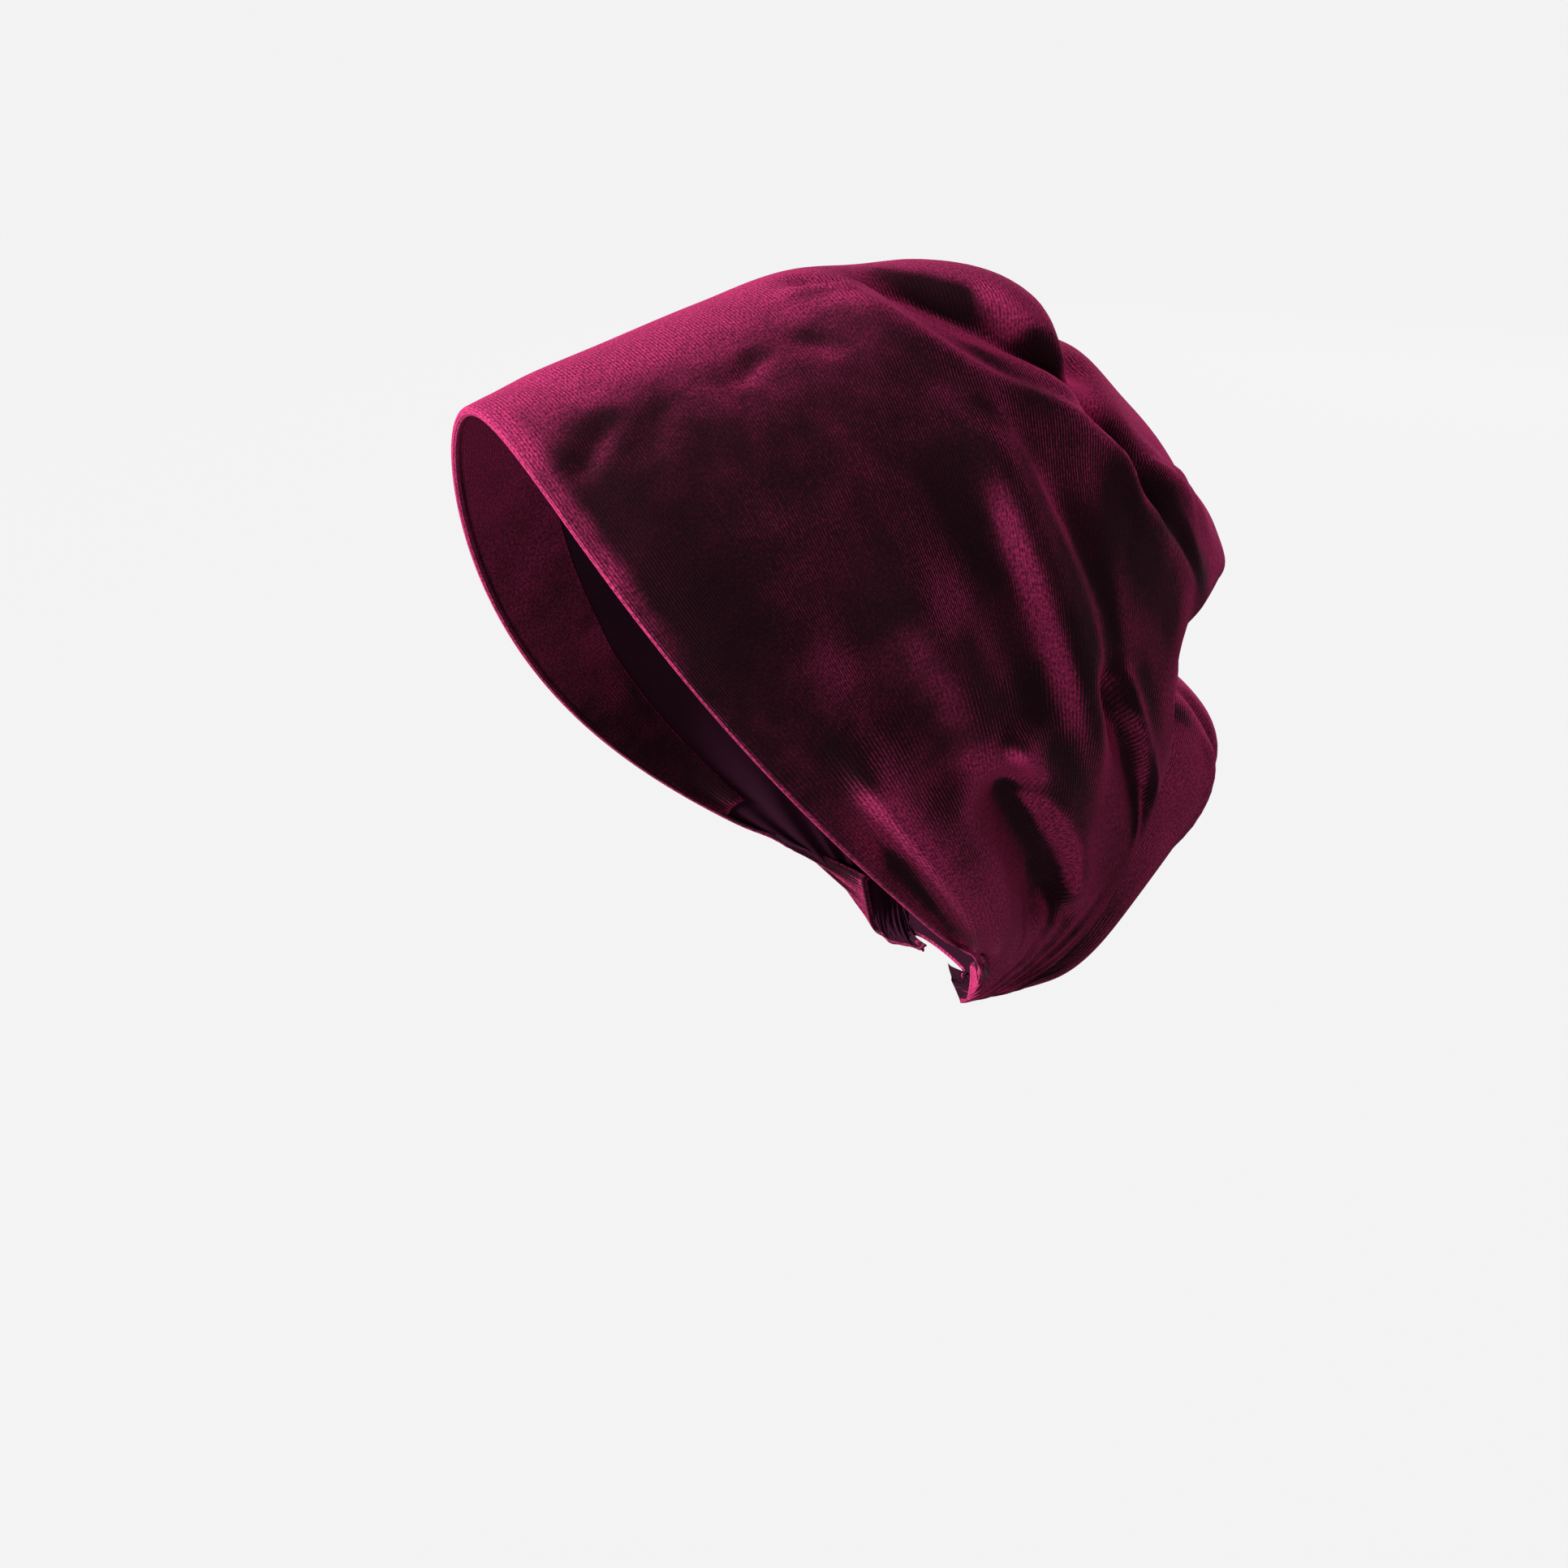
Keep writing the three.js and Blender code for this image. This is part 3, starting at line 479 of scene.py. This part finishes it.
def velvet_finish(name):
    """Ribbed velvet. The ribs are a cosine across the strips, whose pitch doubles where the
    cloth crowds to half. The pile is dark where it is looked into. Its lit tips are mixed in
    at a glancing angle, more under painted highlights and less under painted shade, unevenly, by
    crushed patches and by nap."""
    finish = Finish(name)
    cloth = finish.node("UVMap", {"uv_map": "cloth"})
    u = finish.node("SeparateXYZ", sockets={0: cloth}, output=0)
    v = finish.node("SeparateXYZ", sockets={0: cloth}, output=1)
    crowding = finish.node("Attribute", {"attribute_name": "crowding"}, output=2)
    place = finish.node("TexCoord", output=3)

    level = crowding.math("FLOOR")
    ribs = v / RIB_PITCH / 2.0**level
    narrow = (ribs * (2 * math.pi)).math("COSINE")
    broad = (ribs * math.pi).math("COSINE")
    change = finish.between(crowding - level, 0.35, 0.65)
    rib = narrow + change * (broad - narrow)

    tufts = finish.node("CombineXYZ", sockets={0: u * TUFTS_ALONG_RIB,
                                               1: ribs * TUFTS_ACROSS_RIB, 2: 0.0})
    nap = finish.node("TexNoise", {"noise_dimensions": "2D"},
                      {"Vector": tufts, "Scale": 1.0, "Detail": 2.0, "Roughness": 0.6})
    patches = finish.node("TexNoise", sockets={"Vector": place, "Scale": 24.0, "Detail": 3.0,
                                               "Roughness": 0.55})
    crush = finish.node("TexNoise", sockets={"Vector": place, "Scale": 90.0, "Detail": 2.0,
                                             "Roughness": 0.5})
    # Lighter on the rib crests and darker in the rib valleys: painted shade along the ribs, over
    # their bump. Patches and nap vary the tone at random.
    pile = (finish.between(patches, 0.40, 0.72) * 0.45 + finish.between(nap, 0.45, 0.80) * 0.5
            + rib * 0.10)
    colour = finish.blend(finish.between(pile, 0.0, 0.5), WINE_DEEP, WINE)
    colour = finish.blend(finish.between(pile, 0.55, 1.0), colour, WINE_BRIGHT)

    ribbed = finish.node("Bump", sockets={"Strength": 0.55, "Distance": 0.00022,
                                          "Height": rib * 0.5 + nap * 0.9})
    soft = finish.node("Bump", sockets={"Strength": 0.35, "Distance": 0.0015,
                                        "Height": crush, "Normal": ribbed})
    body = finish.node("BsdfPrincipled", sockets={
        "Base Color": colour, "Roughness": 0.92, "Specular IOR Level": 0.1,
        "Sheen Weight": 0.16, "Sheen Roughness": 0.35, "Sheen Tint": PILE_SHEEN,
        "Normal": soft})
    tips = finish.node("BsdfPrincipled", sockets={
        "Base Color": PILE_TIPS, "Roughness": 1.0, "Specular IOR Level": 0.0,
        "Normal": soft})
    glance = finish.node("LayerWeight", sockets={"Blend": 0.5, "Normal": soft}, output=1)
    # Painted highlights and painted shade: the table's values add to or take from the mix of lit
    # tips, and a strong painted highlight lifts the tips further.
    painted_light = finish.node("Attribute", {"attribute_name": "painted_light"}, output=2)
    grain = finish.between(nap, 0.30, 0.75)
    painted_highlight = finish.between(painted_light, 0.40, 1.0)
    uneven = patches * 0.20 + crush * 0.22 - 0.21
    catch = finish.between(glance + painted_light + uneven, 0.06, 0.60) * (
        0.26 + 0.14 * rib + 0.80 * grain + 0.5 * painted_highlight + 0.35 * finish.between(glance, 0.7, 1.0))
    pile_mix = finish.node("MixShader", sockets={0: catch, 1: body, 2: tips})
    finish.node("OutputMaterial", sockets={"Surface": pile_mix})
    return finish.material


LOOP_WIDTH = 0.0009            # metres from loop to loop along the strips
LOOP_HEIGHT = 0.0007           # and across them
KNIT_DEEP = (0.020, 0.0030, 0.010, 1)
KNIT = (0.045, 0.006, 0.022, 1)
KNIT_SHEEN = (0.6, 0.15, 0.35, 1)


def knit_finish():
    """The velvet's knitted back, duller and a little more purple: matt loops, the product of a
    sine along the strips and one across them."""
    finish = Finish("velvet_back")
    cloth = finish.node("UVMap", {"uv_map": "cloth"})
    u = finish.node("SeparateXYZ", sockets={0: cloth}, output=0)
    v = finish.node("SeparateXYZ", sockets={0: cloth}, output=1)
    loops = ((u * (2 * math.pi / LOOP_WIDTH)).math("SINE")
             * (v * (2 * math.pi / LOOP_HEIGHT)).math("SINE"))
    colour = finish.blend(loops * 0.5 + 0.5, KNIT_DEEP, KNIT)
    bump = finish.node("Bump", sockets={"Strength": 0.4, "Distance": 0.0002, "Height": loops})
    body = finish.node("BsdfPrincipled", sockets={
        "Base Color": colour, "Roughness": 0.95, "Specular IOR Level": 0.1,
        "Sheen Weight": 0.25, "Sheen Roughness": 0.5, "Sheen Tint": KNIT_SHEEN,
        "Normal": bump})
    finish.node("OutputMaterial", sockets={"Surface": body})
    return finish.material


STRIP_CELLS = 232              # from the rim to the hem
ACROSS_CELLS = 204             # from the right nape to the left nape

crown_strips = spread([0, 0.12, 0.15, 0.45, 0.6, 0.8, 1],
                      [0.8, 0.9, 1.3, 1.3, 1.1, 0.9, 0.7], STRIP_CELLS)
crown_acrosses = spread([-1, 0, 0.15, 0.8, 1], [0.8, 0.9, 1.25, 1.25, 1.2], ACROSS_CELLS)
crown = cloth_wall("velvet_crown", crown_strips, crown_acrosses, 0, WALL, RIM_BEAD,
                   [velvet_finish("velvet_outside"), knit_finish()])
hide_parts("crown")

# ---- Rim facing ------------------------------------------------------------------------------
# The front edge of the same velvet, turned in behind the rim and lying against the inside of
# the crown. It is pressed a little thinner there, and its ribs run on round the rim.

FACING_WALL = 1.2
FACING_GAP = 0.3               # between the crown and the facing
FACING_START = 0.4             # it begins this far in from the rim
FACING_DEPTH = 46
FACING_END = 0.76              # it runs this far round to each side, as "across"

facing_top = WALL + FACING_GAP
facing_bottom = facing_top + FACING_WALL
facing = cloth_wall("velvet_rim_facing",
                    np.linspace(FACING_START, FACING_DEPTH, 22) / CUT_LENGTH,
                    np.linspace(-FACING_END, FACING_END, 161),
                    facing_top, facing_bottom, facing_bottom, [velvet_finish("velvet_facing")])
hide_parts("rim_facing")

# ---- Studio ----------------------------------------------------------------------------------
# A plain pale floor, well below the hat, which is shown in the form it takes on a head. Pale
# surroundings, and soft lights: one in front and weaker ones above, at the side and behind.

FLOOR_HEIGHT = -0.55           # metres
FLOOR_REACH = 30               # metres to each side
PALE = 0.89                    # how bright the floor and the surroundings look

corners = [(-1, -1), (1, -1), (1, 1), (-1, 1)]
floor_mesh = bpy.data.meshes.new("floor")
floor_mesh.from_pydata([(x * FLOOR_REACH, y * FLOOR_REACH, FLOOR_HEIGHT) for x, y in corners],
                       [], [(0, 1, 2, 3)])
floor = bpy.data.objects.new("floor", floor_mesh)
floor.visible_diffuse = False    # it throws no light back on the hat
bpy.context.scene.collection.objects.link(floor)
paper = Finish("pale_floor")
grain = paper.node("TexNoise", sockets={"Scale": 0.6, "Detail": 1.0})
pale = paper.blend(grain, (0.008, 0.008, 0.009, 1), (0.011, 0.011, 0.011, 1))
paper.node("OutputMaterial", sockets={"Surface": paper.node("BsdfPrincipled", sockets={
    "Base Color": pale, "Roughness": 0.9, "Specular IOR Level": 0.0,
    "Emission Color": (1, 1, 1, 1), "Emission Strength": PALE})})
floor_mesh.materials.append(paper.material)

world = bpy.data.worlds.new("white_surroundings")
bpy.context.scene.world = world
world.use_nodes = True
sky = world.node_tree.nodes
away = sky.new("ShaderNodeVectorMath")
away.operation = "DOT_PRODUCT"
away.inputs[1].default_value = (-0.30, 0.0, 0.95)   # from above
fade = sky.new("ShaderNodeMapRange")
fade.interpolation_type = "SMOOTHSTEP"
fade.inputs["From Min"].default_value, fade.inputs["From Max"].default_value = -0.5, 1.0
fade.inputs["To Min"].default_value, fade.inputs["To Max"].default_value = 0.015, 0.045
world.node_tree.links.new(sky.new("ShaderNodeTexCoord").outputs["Generated"], away.inputs[0])
world.node_tree.links.new(away.outputs["Value"], fade.inputs["Value"])
sky["Background"].inputs["Color"].default_value = (1, 1, 1, 1)
seen = sky.new("ShaderNodeMix")                     # seen itself, it is as pale as the floor
seen.inputs["B"].default_value = PALE
world.node_tree.links.new(sky.new("ShaderNodeLightPath").outputs["Is Camera Ray"],
                          seen.inputs["Factor"])
world.node_tree.links.new(fade.outputs[0], seen.inputs["A"])
world.node_tree.links.new(seen.outputs[0], sky["Background"].inputs["Strength"])
bpy.context.scene.view_settings.view_transform = "Standard"


def softbox(name, place, target, width, power):
    """A square area light at a place, in metres, that faces the target."""
    lamp = bpy.data.lights.new(name, "AREA")
    lamp.size, lamp.energy = width, power
    light = bpy.data.objects.new(name, lamp)
    light.location = place
    light.rotation_euler = (Vector(target) - Vector(place)).to_track_quat("-Z", "Y").to_euler()
    bpy.context.scene.collection.objects.link(light)


softbox("front_light", (-0.45, -2.2, 0.45), (0, 0.05, -0.08), 0.8, 75)
softbox("top_light", (0.3, 1.5, 2.2), (0, 0.1, -0.1), 0.7, 15)
softbox("side_light", (2.0, -1.0, -0.15), (0, 0.05, -0.1), 1.0, 10)
softbox("far_light", (-1.6, 1.9, 0.3), (0, 0.1, -0.12), 1.2, 38)

CAMERA_PLACE = (0.68484, -0.34005, 0.16898)         # metres
CAMERA_TURN = math.radians(62)      # round from straight in front, to the wearer's left
CAMERA_DROP = math.radians(23.7)    # looks down by this much
CAMERA_LENS = 54.04                 # millimetres

camera = bpy.data.objects.new("camera", bpy.data.cameras.new("camera"))
backwards = Vector((math.sin(CAMERA_TURN) * math.cos(CAMERA_DROP),
                    -math.cos(CAMERA_TURN) * math.cos(CAMERA_DROP), math.sin(CAMERA_DROP)))
camera.location = CAMERA_PLACE
camera.rotation_euler = (-backwards).to_track_quat("-Z", "Y").to_euler()
camera.data.sensor_width = 36
camera.data.lens = CAMERA_LENS
camera.data.clip_start, camera.data.clip_end = 0.01, 100
bpy.context.scene.collection.objects.link(camera)
bpy.context.scene.camera = camera
